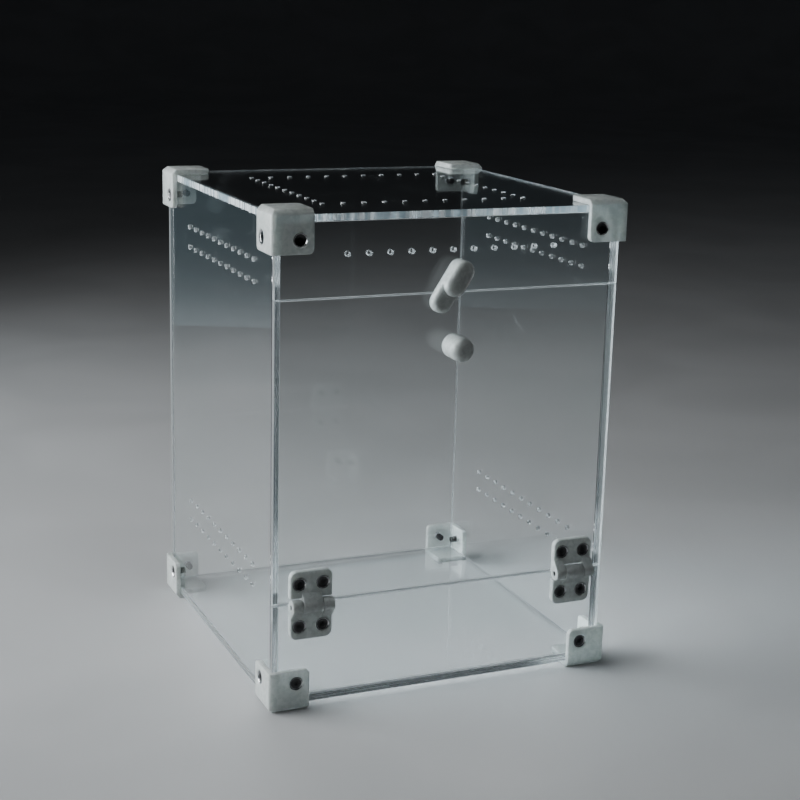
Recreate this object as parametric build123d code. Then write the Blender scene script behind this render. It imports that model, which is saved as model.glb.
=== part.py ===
from build123d import *
import math
import os

# A clear acrylic terrarium: a tall box of laser-cut sheets, clamped at its eight corners
# by moulded corner caps, with a drop-down door in front on two butt hinges, a round
# pull knob and a turn latch.
#
# Millimetres, +Z up, the door faces -Y. The sheets are worked out round the middle of
# the box with the floor's underside at zero, and the finished pieces are moved so that
# the origin is the middle of the whole object's footprint, on the plane of its feet.

# The box of sheets
box_width = 150.0
box_depth = 150.0
box_height = 200.0
sheet = 3.0
lower_front_height = 40.0
upper_front_height = 30.0
door_gap = 0.4
side_play = 0.2

# Vents
vent_d = 2.0
vent_pitch = 9.0
vent_count = 11
front_vent_drop = 16.0
side_vent_drop = 21.0
side_vent_rise = 43.0
side_vent_rows = 2
side_vent_forward = 2.8

# Corner caps
cap_reach = 15.1
cap_wall = 2.4
cap_chamfer = 2.0
cap_ridge_r = 1.2
cap_corner_r = 2.2
cap_screw_inset = 9.5

# Screws, one thread size throughout. Caps and hinge leaves have countersunk ones, whose
# heads lie a little below the plastic, and their length includes the head. The knob and
# the latch have button-head ones.
screw_d = 3.0
sunk_head_d = 5.6
sunk_rim = 0.25
sunk_below = 0.2
sunk_play = 0.05
button_d = 5.7
button_h = 1.65
button_shoulder_d = 4.7
button_shoulder_h = 1.0
button_land_d = 3.0
socket_across = 2.0
socket_depth = 0.9
cap_screw_length = 8.0
hinge_screw_length = 6.0
handle_screw_length = 8.0
hole_play = 0.1
thread_play = 0.03

# Flat sides of what repeats by the dozen, which keeps the model light. A hole's flats lie
# on its true circle, and a screw's corners lie on its own.
hole_sides = 6
screw_sides = 8

# Hinges
hinge_width = 18.0
hinge_height = 29.0
hinge_inset = 15.5
leaf = 2.5
leaf_corner_r = 3.0
leaf_bevel = 0.6
barrel_d = 6.0
barrel_clear = 0.3
centre_knuckle = 8.4
knuckle_gap = 0.25
pin_d = 2.0
pin_play = 0.05
pin_fit = 0.02
pin_recess = 0.3
hinge_screw_dx = 10.0
hinge_screw_dz = 18.0

# Pull knob
knob_d = 10.0
knob_length = 13.0
knob_front_r = 3.2
knob_back_r = 2.0
knob_rim_steps = 2
knob_drop = 21.4

# Turn latch
latch_width = 9.0
latch_length = 23.5
latch_pivot_inset = 7.5
latch_pivot_rise = 6.5
latch_lean = 32.0
latch_grip_length = 15.5
latch_grip_height = 7.8
latch_arm_height = 4.5
latch_edge = 1.2
latch_gap = 0.3
latch_shank_play = 0.06
latch_head_gap = 0.15

# Door travel, from closed, in degrees
door_open_limit = 108.0

# How close a level must be for an edge or a face to be picked by it
same_level = 0.01

# How far a cutter stands out of the surface that it cuts into
cut_over = 0.1

# Levels and faces that follow from the sizes above
half_width = box_width / 2
half_depth = box_depth / 2
lid_under = box_height - sheet
lower_seam = sheet + lower_front_height
upper_seam = lid_under - upper_front_height
door_bottom = lower_seam + door_gap / 2
door_top = upper_seam - door_gap / 2
side_depth = box_depth - 2 * sheet - side_play
cap_size = cap_reach + cap_wall

# The hinge pins lie in front of the front face, level with the lower seam
barrel_r = barrel_d / 2
pin_y = -half_depth - barrel_r - barrel_clear
pin_z = lower_seam
hinge_x = half_width - hinge_inset
outer_knuckle = (hinge_width - centre_knuckle) / 2

# The knob and the latch
knob_z = upper_seam - knob_drop
latch_z = upper_seam + latch_pivot_rise

# Where the finished pieces go
front_reach = max(knob_length, latch_gap + latch_grip_height)
depth_shift = (front_reach - cap_wall) / 2
to_frame = Pos(0, depth_shift, cap_wall)

# Each outer face of the box: local x runs along it, local y is up (on the lid, to the back)
lid_face = Plane(origin=(0, 0, box_height), x_dir=(1, 0, 0), z_dir=(0, 0, 1))
floor_face = Plane(origin=(0, 0, 0), x_dir=(1, 0, 0), z_dir=(0, 0, -1))
front_face = Plane(origin=(0, -half_depth, 0), x_dir=(1, 0, 0), z_dir=(0, -1, 0))
back_face = Plane(origin=(0, half_depth, 0), x_dir=(-1, 0, 0), z_dir=(0, 1, 0))
left_face = Plane(origin=(-half_width, 0, 0), x_dir=(0, -1, 0), z_dir=(-1, 0, 0))
right_face = Plane(origin=(half_width, 0, 0), x_dir=(0, 1, 0), z_dir=(1, 0, 0))

os.makedirs("parts", exist_ok=True)
pieces = {}


def keep(name, *solids):
    """Move a finished piece, or a group of like pieces, into the frame and write it."""
    placed = [to_frame * solid for solid in solids]
    shape = placed[0] if len(placed) == 1 else Compound(placed)
    pieces[name] = shape
    export_step(shape, f"parts/{name}.step")


def hole_outline(r):
    """The outline of a small hole that a shaft of radius r just passes."""
    return RegularPolygon(r, hole_sides, major_radius=False)


def drill(r, length):
    """A cutter for a small hole along Z, its middle at the origin."""
    return extrude(hole_outline(r), amount=length / 2, both=True)


def cut_sheet(face, width, bottom, top, holes, middle=0.0):
    """A sheet whose outer side lies on a face of the box, with holes (x, y, radius)."""
    outline = Pos(middle, (bottom + top) / 2) * Rectangle(width, top - bottom)
    if holes:
        outline = outline - [Pos(x, y) * hole_outline(r) for x, y, r in holes]
    return face * extrude(outline, amount=-sheet)


def vent_row(y):
    """One row of vents, centred on the sheet."""
    first = -(vent_count - 1) / 2 * vent_pitch
    return [(first + i * vent_pitch, y, vent_d / 2) for i in range(vent_count)]


def vent_ring():
    """A square ring of vents, as many on a side as in a row."""
    far = (vent_count - 1) / 2 * vent_pitch
    front_and_back = vent_row(-far) + vent_row(far)
    between = [y for y, _, _ in vent_row(0)][1:-1]
    sides = [(x, y, vent_d / 2) for x in (-far, far) for y in between]
    return front_and_back + sides


tapped_r = screw_d / 2 + thread_play
clearance_r = screw_d / 2 + hole_play


def cap_screw_spots(half_length, levels):
    """Centres of the corner caps' screws on one face, at each end and level."""
    far = half_length - cap_screw_inset
    return [(x, y) for x in (-far, far) for y in levels]


low_level = cap_screw_inset
high_level = box_height - cap_screw_inset


def tapped(spots):
    """Threaded holes, plain at the thread's outer size, at the given spots."""
    return [(x, y, tapped_r) for x, y in spots]


def hinge_screw_spots(side, level):
    """The two screws of one hinge leaf. Level is +1 on the door and -1 below it."""
    z = pin_z + level * hinge_screw_dz / 2
    return [(side * hinge_x + dx, z) for dx in (-hinge_screw_dx / 2, hinge_screw_dx / 2)]


# Sheets
def make_sheets():
    """The seven fixed sheets and the door."""
    keep("floor_panel", cut_sheet(floor_face, box_width, -half_depth, half_depth, []))
    keep("top_panel", cut_sheet(lid_face, box_width, -half_depth, half_depth, vent_ring()))

    back_holes = tapped(cap_screw_spots(half_width, (low_level, high_level)))
    keep("back_panel", cut_sheet(back_face, box_width, sheet, lid_under, back_holes))

    rows = []
    for i in range(side_vent_rows):
        rows += vent_row(box_height - side_vent_drop - i * vent_pitch)
        rows += vent_row(side_vent_rise + i * vent_pitch)
    side_screws = tapped(cap_screw_spots(half_depth, (low_level, high_level)))
    for name, face, forward in (("left_panel", left_face, 1), ("right_panel", right_face, -1)):
        middle = -forward * side_play / 2
        holes = [(x + forward * side_vent_forward, y, r) for x, y, r in rows] + side_screws
        keep(name, cut_sheet(face, side_depth, sheet, lid_under, holes, middle))

    upper_holes = vent_row(box_height - front_vent_drop)
    upper_holes += tapped(cap_screw_spots(half_width, (high_level,)))
    upper_holes += [(0, latch_z, screw_d / 2 + latch_shank_play)]
    keep("upper_front_panel", cut_sheet(front_face, box_width, upper_seam, lid_under, upper_holes))

    lower_holes = tapped(cap_screw_spots(half_width, (low_level,)))
    lower_holes += tapped(hinge_screw_spots(-1, -1) + hinge_screw_spots(1, -1))
    lower_edge = lower_seam - door_gap / 2
    keep("lower_front_panel", cut_sheet(front_face, box_width, sheet, lower_edge, lower_holes))

    door_holes = tapped(hinge_screw_spots(-1, 1) + hinge_screw_spots(1, 1))
    door_holes += [(0, knob_z, clearance_r)]
    keep("door_panel", cut_sheet(front_face, box_width, door_bottom, door_top, door_holes))


# Screws and the countersinks for them
def cone_step(wide_z, wide_d, narrow_z, narrow_d, around=False):
    """One step of a screw head, from its wide end to its narrow end, with flat sides.

    Its corners lie on the given diameters. With around true its flats do, which is the
    hole that such a step fits into.
    """
    flat_share = 1 if around else math.cos(math.pi / screw_sides)
    length = abs(narrow_z - wide_z)
    slope = math.degrees(math.atan2((wide_d - narrow_d) / 2 * flat_share, length))
    outline = RegularPolygon(wide_d / 2, screw_sides, major_radius=not around)
    step = extrude(outline, amount=length, taper=slope)
    if narrow_z < wide_z:
        step = Rot(180, 0, 0) * step
    return Pos(0, 0, wide_z) * step


def hex_socket(top):
    """A cutter for the socket of a head whose top is at the given height."""
    opening = RegularPolygon(socket_across / 2, 6, major_radius=False)
    return extrude(Plane.XY.offset(top) * opening, amount=-socket_depth)


def shank_down(length):
    """A screw's shank from z = 0 down."""
    return extrude(RegularPolygon(screw_d / 2, screw_sides), amount=-length)


def button_screw(length):
    """A button-head screw. Its head sits on z = 0 and the shank runs down."""
    head = cone_step(0, button_d, button_shoulder_h, button_shoulder_d)
    head = head + cone_step(button_shoulder_h, button_shoulder_d, button_h, button_land_d)
    return shank_down(length) + head - hex_socket(button_h)


def sunk_screw(length):
    """A countersunk screw, the top of its head at z = 0 and the shank running down."""
    neck = -sunk_rim - (sunk_head_d - screw_d) / 2
    head = cone_step(0, sunk_head_d, -sunk_rim, sunk_head_d)
    head = head + cone_step(-sunk_rim, sunk_head_d, neck, screw_d)
    return shank_down(length) + head - hex_socket(0)


def sunk_hole(wall):
    """A cutter for a countersunk hole through a wall whose outer side is at z = 0."""
    mouth_d = sunk_head_d + 2 * (sunk_play + sunk_below + sunk_rim)
    depth = mouth_d / 2 - clearance_r
    cone = cone_step(cut_over, mouth_d + 2 * cut_over, -depth, 2 * clearance_r, around=True)
    bore = RegularPolygon(clearance_r, screw_sides, major_radius=False)
    return cone + extrude(bore, amount=-2 * wall)


def seated_screw(face, x, y, wall, length):
    """A countersunk screw, driven inwards through a wall that lies on a face of the box."""
    return face * Pos(x, y, wall - sunk_below) * sunk_screw(length)


# Corner caps
def corner_cap():
    """One cap, its inner corner at the origin and the sheets in the positive octant.

    Three walls wrap the box's corner. The wall below carries no screw and is the foot
    or the lid's clamp, and the other two each take one screw.
    """
    middle = (cap_reach - cap_wall) / 2
    body = Pos(middle, middle, middle) * Box(cap_size, cap_size, cap_size)
    outer = body.edges()
    low_edges = outer.filter_by(Axis.X).filter_by(lambda e: e.center().Z < 0 and e.center().Y < 0)
    low_edges += outer.filter_by(Axis.Y).filter_by(lambda e: e.center().Z < 0 and e.center().X < 0)
    body = chamfer(low_edges, cap_chamfer)
    ridge = body.edges().filter_by(Axis.Z)
    ridge = ridge.filter_by(lambda e: e.center().X < 0 and e.center().Y < 0)
    body = fillet(ridge, cap_ridge_r)
    inner = Pos(cap_size / 2, cap_size / 2, cap_size / 2) * Box(cap_size, cap_size, cap_size)
    body = body - inner

    rim = cap_reach - cap_corner_r
    free = [e for e in body.edges().filter_by(Axis.X) if e.center().Y > rim and e.center().Z > rim]
    free += [e for e in body.edges().filter_by(Axis.Y) if e.center().X > rim and e.center().Z > rim]
    free += [e for e in body.edges().filter_by(Axis.Z) if e.center().X > rim and e.center().Y > rim]
    body = fillet(free, cap_corner_r)

    hole = sunk_hole(cap_wall)
    front_hole = Pos(cap_screw_inset, -cap_wall, cap_screw_inset) * Rot(90, 0, 0) * hole
    side_hole = Pos(-cap_wall, cap_screw_inset, cap_screw_inset) * Rot(0, -90, 0) * hole
    return body - [front_hole, side_hole]


def make_caps():
    """Eight caps, one at each corner, each with its two screws."""
    cap = corner_cap()
    for z_word, z_side in (("bottom", -1), ("top", 1)):
        for y_word, y_side, y_face in (("front", -1, front_face), ("back", 1, back_face)):
            for x_word, x_side, x_face in (("left", -1, left_face), ("right", 1, right_face)):
                corner = cap
                if x_side > 0:
                    corner = mirror(corner, about=Plane.YZ)
                if y_side > 0:
                    corner = mirror(corner, about=Plane.XZ)
                if z_side > 0:
                    corner = mirror(corner, about=Plane.XY)
                z_place = box_height if z_side > 0 else 0
                place = Pos(x_side * half_width, y_side * half_depth, z_place)
                where = f"{z_word}_{y_word}_{x_word}"
                keep(f"corner_cap_{where}", place * corner)

                level = high_level if z_side > 0 else low_level
                far_x = half_width - cap_screw_inset
                far_y = half_depth - cap_screw_inset
                along_y_face = x_side * far_x * y_face.x_dir.X
                along_x_face = y_side * far_y * x_face.x_dir.Y
                keep(f"corner_screws_{where}",
                     seated_screw(y_face, along_y_face, level, cap_wall, cap_screw_length),
                     seated_screw(x_face, along_x_face, level, cap_wall, cap_screw_length))


# Hinges
right_through = 4 * barrel_d


def hinge_leaf(outer):
    """A leaf that stands up from the pin, which lies on the X axis, its back towards +Y.

    With outer true it has the two end knuckles, which hold the pin fast, otherwise the
    middle one, which turns on it.
    """
    back = barrel_r + barrel_clear
    height = hinge_height / 2
    plate = Pos(0, back - leaf / 2, height / 2) * Box(hinge_width, leaf, height)
    corners = plate.edges().filter_by(Axis.Y).group_by(Axis.Z)[-1]
    plate = fillet(corners, leaf_corner_r)
    rim = plate.faces().sort_by(Axis.Y)[0].edges()
    rim = rim.filter_by(lambda e: e.center().Z > same_level)
    plate = chamfer(rim, leaf_bevel)

    barrel = Rot(0, 90, 0) * Cylinder(barrel_r, hinge_width)
    shape = plate + barrel
    if outer:
        room = centre_knuckle + 2 * knuckle_gap
        shape = shape - Box(room, right_through, 2 * back)
    else:
        for side in (-1, 1):
            x = side * (centre_knuckle + outer_knuckle) / 2
            shape = shape - Pos(x, 0, 0) * Box(outer_knuckle, right_through, 2 * back)
    bore_r = pin_d / 2 + (pin_fit if outer else pin_play)
    return shape - Rot(0, 90, 0) * Cylinder(bore_r, 2 * hinge_width)


def make_hinges():
    """Two hinges of the same pattern. The right one is the left one turned half a turn."""
    cutter = Pos(0, barrel_r + barrel_clear - leaf, hinge_screw_dz / 2) * Rot(90, 0, 0)
    cutter = cutter * sunk_hole(leaf)
    holes = [Pos(dx, 0, 0) * cutter for dx in (-hinge_screw_dx / 2, hinge_screw_dx / 2)]
    up_outer = hinge_leaf(True) - holes
    up_centre = hinge_leaf(False) - holes
    turned = Rot(0, 180, 0)
    for name, side in (("left_hinge", -1), ("right_hinge", 1)):
        place = Pos(side * hinge_x, pin_y, pin_z)
        fixed = turned * (up_outer if side < 0 else up_centre)
        moving = up_centre if side < 0 else up_outer
        keep(f"{name}_fixed_leaf", place * fixed)
        keep(f"{name}_door_leaf", place * moving)
        pin = Cylinder(pin_d / 2, hinge_width - 2 * pin_recess)
        keep(f"{name}_pin", place * Rot(0, 90, 0) * pin)
        for part_name, level in (("fixed", -1), ("door", 1)):
            spots = hinge_screw_spots(side, level)
            screws = [seated_screw(front_face, x, z, leaf, hinge_screw_length) for x, z in spots]
            keep(f"{name}_{part_name}_screws", *screws)


# Knob
def make_knob():
    """A turned pull knob, held by a screw from inside the door."""
    knob_r = knob_d / 2
    outline = [(0, 0), (knob_r - knob_back_r, 0), (knob_r, knob_back_r)]
    for step in range(knob_rim_steps + 1):
        turn = math.radians(90 * step / knob_rim_steps)
        rim_x = knob_r - knob_front_r * (1 - math.cos(turn))
        rim_z = knob_length - knob_front_r * (1 - math.sin(turn))
        outline.append((rim_x, rim_z))
    outline.append((0, knob_length))
    half = make_face(Polyline(*outline, close=True))
    body = revolve(Plane.XZ * half, axis=Axis.Z)
    thread_depth = handle_screw_length - sheet
    body = body - drill(tapped_r, 2 * thread_depth)
    keep("door_knob", front_face * Pos(0, knob_z, 0) * body)
    screw = Pos(0, knob_z, -sheet) * Rot(180, 0, 0) * button_screw(handle_screw_length)
    keep("door_knob_screw", front_face * screw)


# Latch
def latch_block(length, height):
    """A block with round ends from the latch's top end downwards, its upper rim eased."""
    slot = Rot(0, 0, 90) * SlotOverall(length, latch_width)
    block = extrude(Pos(0, latch_pivot_inset - length / 2) * slot, amount=height)
    return chamfer(block.faces().sort_by(Axis.Z)[-1].edges(), latch_edge)


def latch_body():
    """The latch with its pivot at the origin, lying along -Y, its back on z = 0."""
    arm = latch_block(latch_length, latch_arm_height)
    grip = latch_block(latch_grip_length, latch_grip_height)
    thread_depth = handle_screw_length - sheet - latch_head_gap - latch_gap
    return arm + grip - drill(tapped_r, 2 * thread_depth)


def make_latch():
    """The turn latch in front of the upper seam, and the screw that it turns with."""
    place = front_face * Pos(0, latch_z, latch_gap)
    keep("latch_lever", place * Rot(0, 0, -latch_lean) * latch_body())
    seat = -sheet - latch_head_gap
    screw = Pos(0, latch_z, seat) * Rot(180, 0, 0) * button_screw(handle_screw_length)
    keep("latch_screw", front_face * screw)


make_sheets()
make_caps()
make_hinges()
make_knob()
make_latch()

# The door's travel ends just before its knob meets the table
knob_face_y = -half_depth - knob_length - pin_y
knob_far_z = knob_z + knob_d / 2 - pin_z
turn = math.radians(door_open_limit)
knob_level = pin_z + cap_wall + knob_face_y * math.sin(turn) + knob_far_z * math.cos(turn)
print(f"knob above the table with the door open {door_open_limit:.0f} degrees: {knob_level:.2f} mm")

whole = Compound(list(pieces.values())).bounding_box()
print(f"{len(pieces)} pieces, from {whole.min} to {whole.max}, size {whole.size}")
print(f"door hinge axis at y {pin_y + depth_shift:.3f}, z {pin_z + cap_wall:.3f}")
print(f"latch pivot at y {-half_depth + depth_shift:.3f}, z {latch_z + cap_wall:.3f}")
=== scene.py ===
# %% [markdown]
# # A clear acrylic terrarium with a drop-down door
#
# The real object is a box of laser-cut acrylic sheets, clamped at its eight corners by
# moulded caps in milky plastic. A door in front turns down on two butt hinges, and a
# turn latch holds it shut. Nearly everything is see-through, so the looks come from
# three things: bright cut edges, small round holes that bend the light, and the soft
# glow of the milky parts. This lesson builds each of them around a fixed CAD frame.

# %% Load the frame
import math

import bmesh
import bpy
from mathutils import Matrix, Vector


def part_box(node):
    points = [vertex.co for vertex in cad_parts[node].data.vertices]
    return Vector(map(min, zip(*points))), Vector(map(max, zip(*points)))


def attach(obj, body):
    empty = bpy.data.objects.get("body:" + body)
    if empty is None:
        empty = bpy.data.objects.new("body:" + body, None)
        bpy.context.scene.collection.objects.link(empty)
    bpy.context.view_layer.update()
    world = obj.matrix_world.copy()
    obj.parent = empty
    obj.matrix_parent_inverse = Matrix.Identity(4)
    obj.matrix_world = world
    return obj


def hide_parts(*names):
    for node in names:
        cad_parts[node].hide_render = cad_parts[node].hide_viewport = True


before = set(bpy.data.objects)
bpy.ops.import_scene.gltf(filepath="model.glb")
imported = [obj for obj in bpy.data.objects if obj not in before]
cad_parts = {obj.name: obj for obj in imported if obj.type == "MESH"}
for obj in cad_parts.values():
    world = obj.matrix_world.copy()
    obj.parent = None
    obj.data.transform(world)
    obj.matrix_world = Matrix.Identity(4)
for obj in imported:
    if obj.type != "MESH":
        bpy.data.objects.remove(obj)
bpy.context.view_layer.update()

# %% [markdown]
# ## Working in millimetres
#
# Blender's frame is in metres, but a maker thinks of a 3 mm sheet and a 2 mm hole. Each
# shape is therefore modelled in millimetres and shrunk once, when it becomes a piece of
# the scene. The object itself stays at the origin, unturned and unscaled, so that
# patterns on Object coordinates have one scale everywhere.

# %% Millimetres and the places that the CAD frame gives
MM = 0.001


def cad_corners(node):
    """A CAD node's lowest and highest corners, in millimetres."""
    low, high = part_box(node)
    return low / MM, high / MM


lid_low, lid_high = cad_corners("top_panel")
middle_y = (lid_low.y + lid_high.y) / 2
front_y, back_y = lid_low.y, lid_high.y
left_x, right_x = lid_low.x, lid_high.x
box_top, box_bottom = lid_high.z, cad_corners("floor_panel")[0].z
print("front face at y", round(front_y, 3), "lid at z", round(box_top, 3))

# %% [markdown]
# ## Finishes
#
# Five finishes cover the object: the sheet's polished face, its cut edge, the wall of its
# small holes, milky moulded plastic and polished steel. Effects that several of them
# share are node groups: a fine grain, a soft mottle and hairline scratches. A group gives
# out a plain mask, and each finish decides what the mask does to its colour, roughness
# or bump.

# %% Helpers for node trees
def add_node(tree, kind, values=None, **settings):
    """A node of a kind, with its settings and the values of its unlinked inputs."""
    node = tree.nodes.new(kind)
    for name, setting in settings.items():
        setattr(node, name, setting)
    for label, value in (values or {}).items():
        node.inputs[label].default_value = value
    return node


def wire(tree, *links):
    """Links nodes. Each link is a node and its output, then a node and its input."""
    for source, given, target, taken in links:
        tree.links.new(source.outputs[given], target.inputs[taken])


def new_group(name, inputs, outputs):
    """An empty shader group with float inputs (name, default) and float outputs."""
    group = bpy.data.node_groups.new(name, "ShaderNodeTree")
    for label, default in inputs:
        socket = group.interface.new_socket(label, in_out="INPUT", socket_type="NodeSocketFloat")
        socket.default_value = default
    for label in outputs:
        group.interface.new_socket(label, in_out="OUTPUT", socket_type="NodeSocketFloat")
    return group, group.nodes.new("NodeGroupInput"), group.nodes.new("NodeGroupOutput")


# %% [markdown]
# **Fine grain** is what a moulded or blasted surface shows under a raking light. Two
# noises of different size are enough, and their mean serves as a height.

# %% The grain group
def fine_grain():
    """Two noises of different size, and their mean as a height."""
    size_ratio = 3.1
    group, given, result = new_group("fine_grain", [("Scale", 2500.0)], ["Height"])
    place = add_node(group, "ShaderNodeTexCoord")
    coarse = add_node(group, "ShaderNodeTexNoise", {"Detail": 3.0, "Roughness": 0.6})
    finer = add_node(group, "ShaderNodeMath", {1: size_ratio}, operation="MULTIPLY")
    small = add_node(group, "ShaderNodeTexNoise", {"Detail": 1.0})
    mean = add_node(group, "ShaderNodeMix", {"Factor": 0.4}, data_type="FLOAT")
    wire(group, (place, "Object", coarse, "Vector"), (place, "Object", small, "Vector"),
         (given, "Scale", coarse, "Scale"), (given, "Scale", finer, 0),
         (finer, 0, small, "Scale"), (coarse, "Fac", mean, "A"),
         (small, "Fac", mean, "B"), (mean, "Result", result, "Height"))
    return group


grain = fine_grain()
print("group", grain.name)

# %% [markdown]
# **A soft mottle** is the cloudiness inside a milky plastic: broad, low in contrast and
# without edges. A smooth ramp over a slow noise gives it.

# %% The mottle group
def soft_mottle():
    """A slow noise behind a smooth ramp."""
    group, given, result = new_group("soft_mottle", [("Scale", 150.0)], ["Cloud"])
    place = add_node(group, "ShaderNodeTexCoord")
    noise = add_node(group, "ShaderNodeTexNoise", {"Detail": 2.0, "Distortion": 0.6})
    ramp = add_node(group, "ShaderNodeMapRange", {"From Min": 0.32, "From Max": 0.68},
                    interpolation_type="SMOOTHSTEP")
    wire(group, (place, "Object", noise, "Vector"), (given, "Scale", noise, "Scale"),
         (noise, "Fac", ramp, "Value"), (ramp, "Result", result, "Cloud"))
    return group


mottle = soft_mottle()
print("group", mottle.name)

# %% [markdown]
# **Hairline scratches** are the wiping marks that every polished face collects. The
# borders between the cells of a Voronoi pattern are thin lines in all directions, and a
# slow noise rubs about half of them out again.

# %% The scratch group
def hairline_scratches():
    """Thin borders of cells, kept only where a slow noise is low."""
    group, given, result = new_group(
        "hairline_scratches", [("Scale", 60.0), ("Width", 0.006), ("Coverage", 0.5)], ["Mask"])
    place = add_node(group, "ShaderNodeTexCoord")
    cells = add_node(group, "ShaderNodeTexVoronoi", feature="DISTANCE_TO_EDGE")
    line = add_node(group, "ShaderNodeMath", operation="LESS_THAN")
    noise = add_node(group, "ShaderNodeTexNoise", {"Scale": 35.0, "Detail": 2.0})
    gate = add_node(group, "ShaderNodeMath", operation="LESS_THAN")
    both = add_node(group, "ShaderNodeMath", operation="MULTIPLY")
    wire(group, (place, "Object", cells, "Vector"), (place, "Object", noise, "Vector"),
         (given, "Scale", cells, "Scale"), (cells, "Distance", line, 0),
         (given, "Width", line, 1), (noise, "Fac", gate, 0), (given, "Coverage", gate, 1),
         (line, 0, both, 0), (gate, 0, both, 1), (both, 0, result, "Mask"))
    return group


scratch = hairline_scratches()
print("group", scratch.name)

# %% [markdown]
# A finish is a material with one Principled shader. What is the same all over the
# surface is set on the shader's own inputs. What changes over the surface comes from a
# mask, and three small helpers turn a mask into a value, a colour or a bump.

# %% Helpers for finishes
def new_finish(name, values):
    """A material with a Principled shader, and the shader's values that stay the same."""
    material = bpy.data.materials.new(name)
    material.use_nodes = True
    tree = material.node_tree
    shader = next(n for n in tree.nodes if n.type == "BSDF_PRINCIPLED")
    for label, value in values.items():
        shader.inputs[label].default_value = value
    return material, tree, shader


def place_group(tree, group, **values):
    """One use of a shared group, with its own values."""
    return add_node(tree, "ShaderNodeGroup", values, node_tree=group)


def spread(tree, mask, low, high):
    """Turns a 0 to 1 mask into a value from low to high."""
    node = add_node(tree, "ShaderNodeMapRange", values={"To Min": low, "To Max": high})
    tree.links.new(mask, node.inputs["Value"])
    return node.outputs["Result"]


def tint(tree, mask, low, high):
    """Turns a 0 to 1 mask into a colour between two colours."""
    node = add_node(tree, "ShaderNodeMix", data_type="RGBA")
    node.inputs["A"].default_value = (*low, 1)
    node.inputs["B"].default_value = (*high, 1)
    tree.links.new(mask, node.inputs["Factor"])
    return node.outputs["Result"]


def bump(tree, height, strength, depth_mm):
    """A Bump node on a height, whose full swing is depth_mm deep."""
    node = add_node(tree, "ShaderNodeBump", {"Strength": strength, "Distance": depth_mm * MM})
    tree.links.new(height, node.inputs["Height"])
    return node.outputs["Normal"]


def dress(tree, shader, colour, rough, normal=None):
    """Feeds what changes over the surface: colour, roughness and, if given, the bump."""
    tree.links.new(colour, shader.inputs["Base Color"])
    tree.links.new(rough, shader.inputs["Roughness"])
    if normal:
        tree.links.new(normal, shader.inputs["Normal"])


# %% [markdown]
# ## Clear sheet
#
# Cast acrylic bends light a little less than window glass (IOR 1.49). A closed sheet of
# it in Cycles would throw a black shadow, because a ray that looks for a lamp stops at
# glass. The usual cure is to let only those rays pass: a Light Path node swaps the glass
# for a Transparent shader when the ray is looking for a lamp.

# %% The polished face
acrylic_ior = 1.49


def let_lamps_through(tree, shader, pane):
    """Mixes a Transparent shader in for rays that look for a lamp."""
    output = next(n for n in tree.nodes if n.type == "OUTPUT_MATERIAL")
    path = add_node(tree, "ShaderNodeLightPath")
    clear = add_node(tree, "ShaderNodeBsdfTransparent", {"Color": (*pane, 1)})
    mix = add_node(tree, "ShaderNodeMixShader")
    wire(tree, (path, "Is Shadow Ray", mix, 0), (shader, "BSDF", mix, 1),
         (clear, "BSDF", mix, 2), (mix, "Shader", output, "Surface"))


def clear_face():
    """The polished face of the sheet, with a few wiping marks."""
    material, tree, shader = new_finish(
        "clear_acrylic_face", {"IOR": acrylic_ior, "Transmission Weight": 1.0})
    marks = place_group(tree, scratch, Scale=55.0, Width=0.004, Coverage=0.46)
    cloud = place_group(tree, mottle, Scale=12.0)
    colour = tint(tree, cloud.outputs["Cloud"], (0.965, 0.985, 0.985), (0.98, 0.99, 0.995))
    dress(tree, shader, colour, spread(tree, marks.outputs["Mask"], 0.0, 0.12))
    let_lamps_through(tree, shader, (0.95, 0.965, 0.97))
    return material


acrylic_face = clear_face()
print("finish", acrylic_face.name)

# %% [markdown]
# Light that gets into a sheet runs along inside it and comes out where the face is
# rough: at the cut edges and in the drilled holes. Those walls glow faintly by
# themselves here, which stands for that piped light.
#
# On the upright edges the laser's marks run along the edge as streaks. On the lid's edge
# the frost and bump show bars across it, and their dark colour is painted shade that stands
# for the vents' shadows in the edge. One noise can be either, because its coordinates are
# stretched differently through the thickness and along the edge. That needs a material for
# each axis that a sheet's thickness can lie along.

# %% The cut edges
piped_light = 0.05


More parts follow.
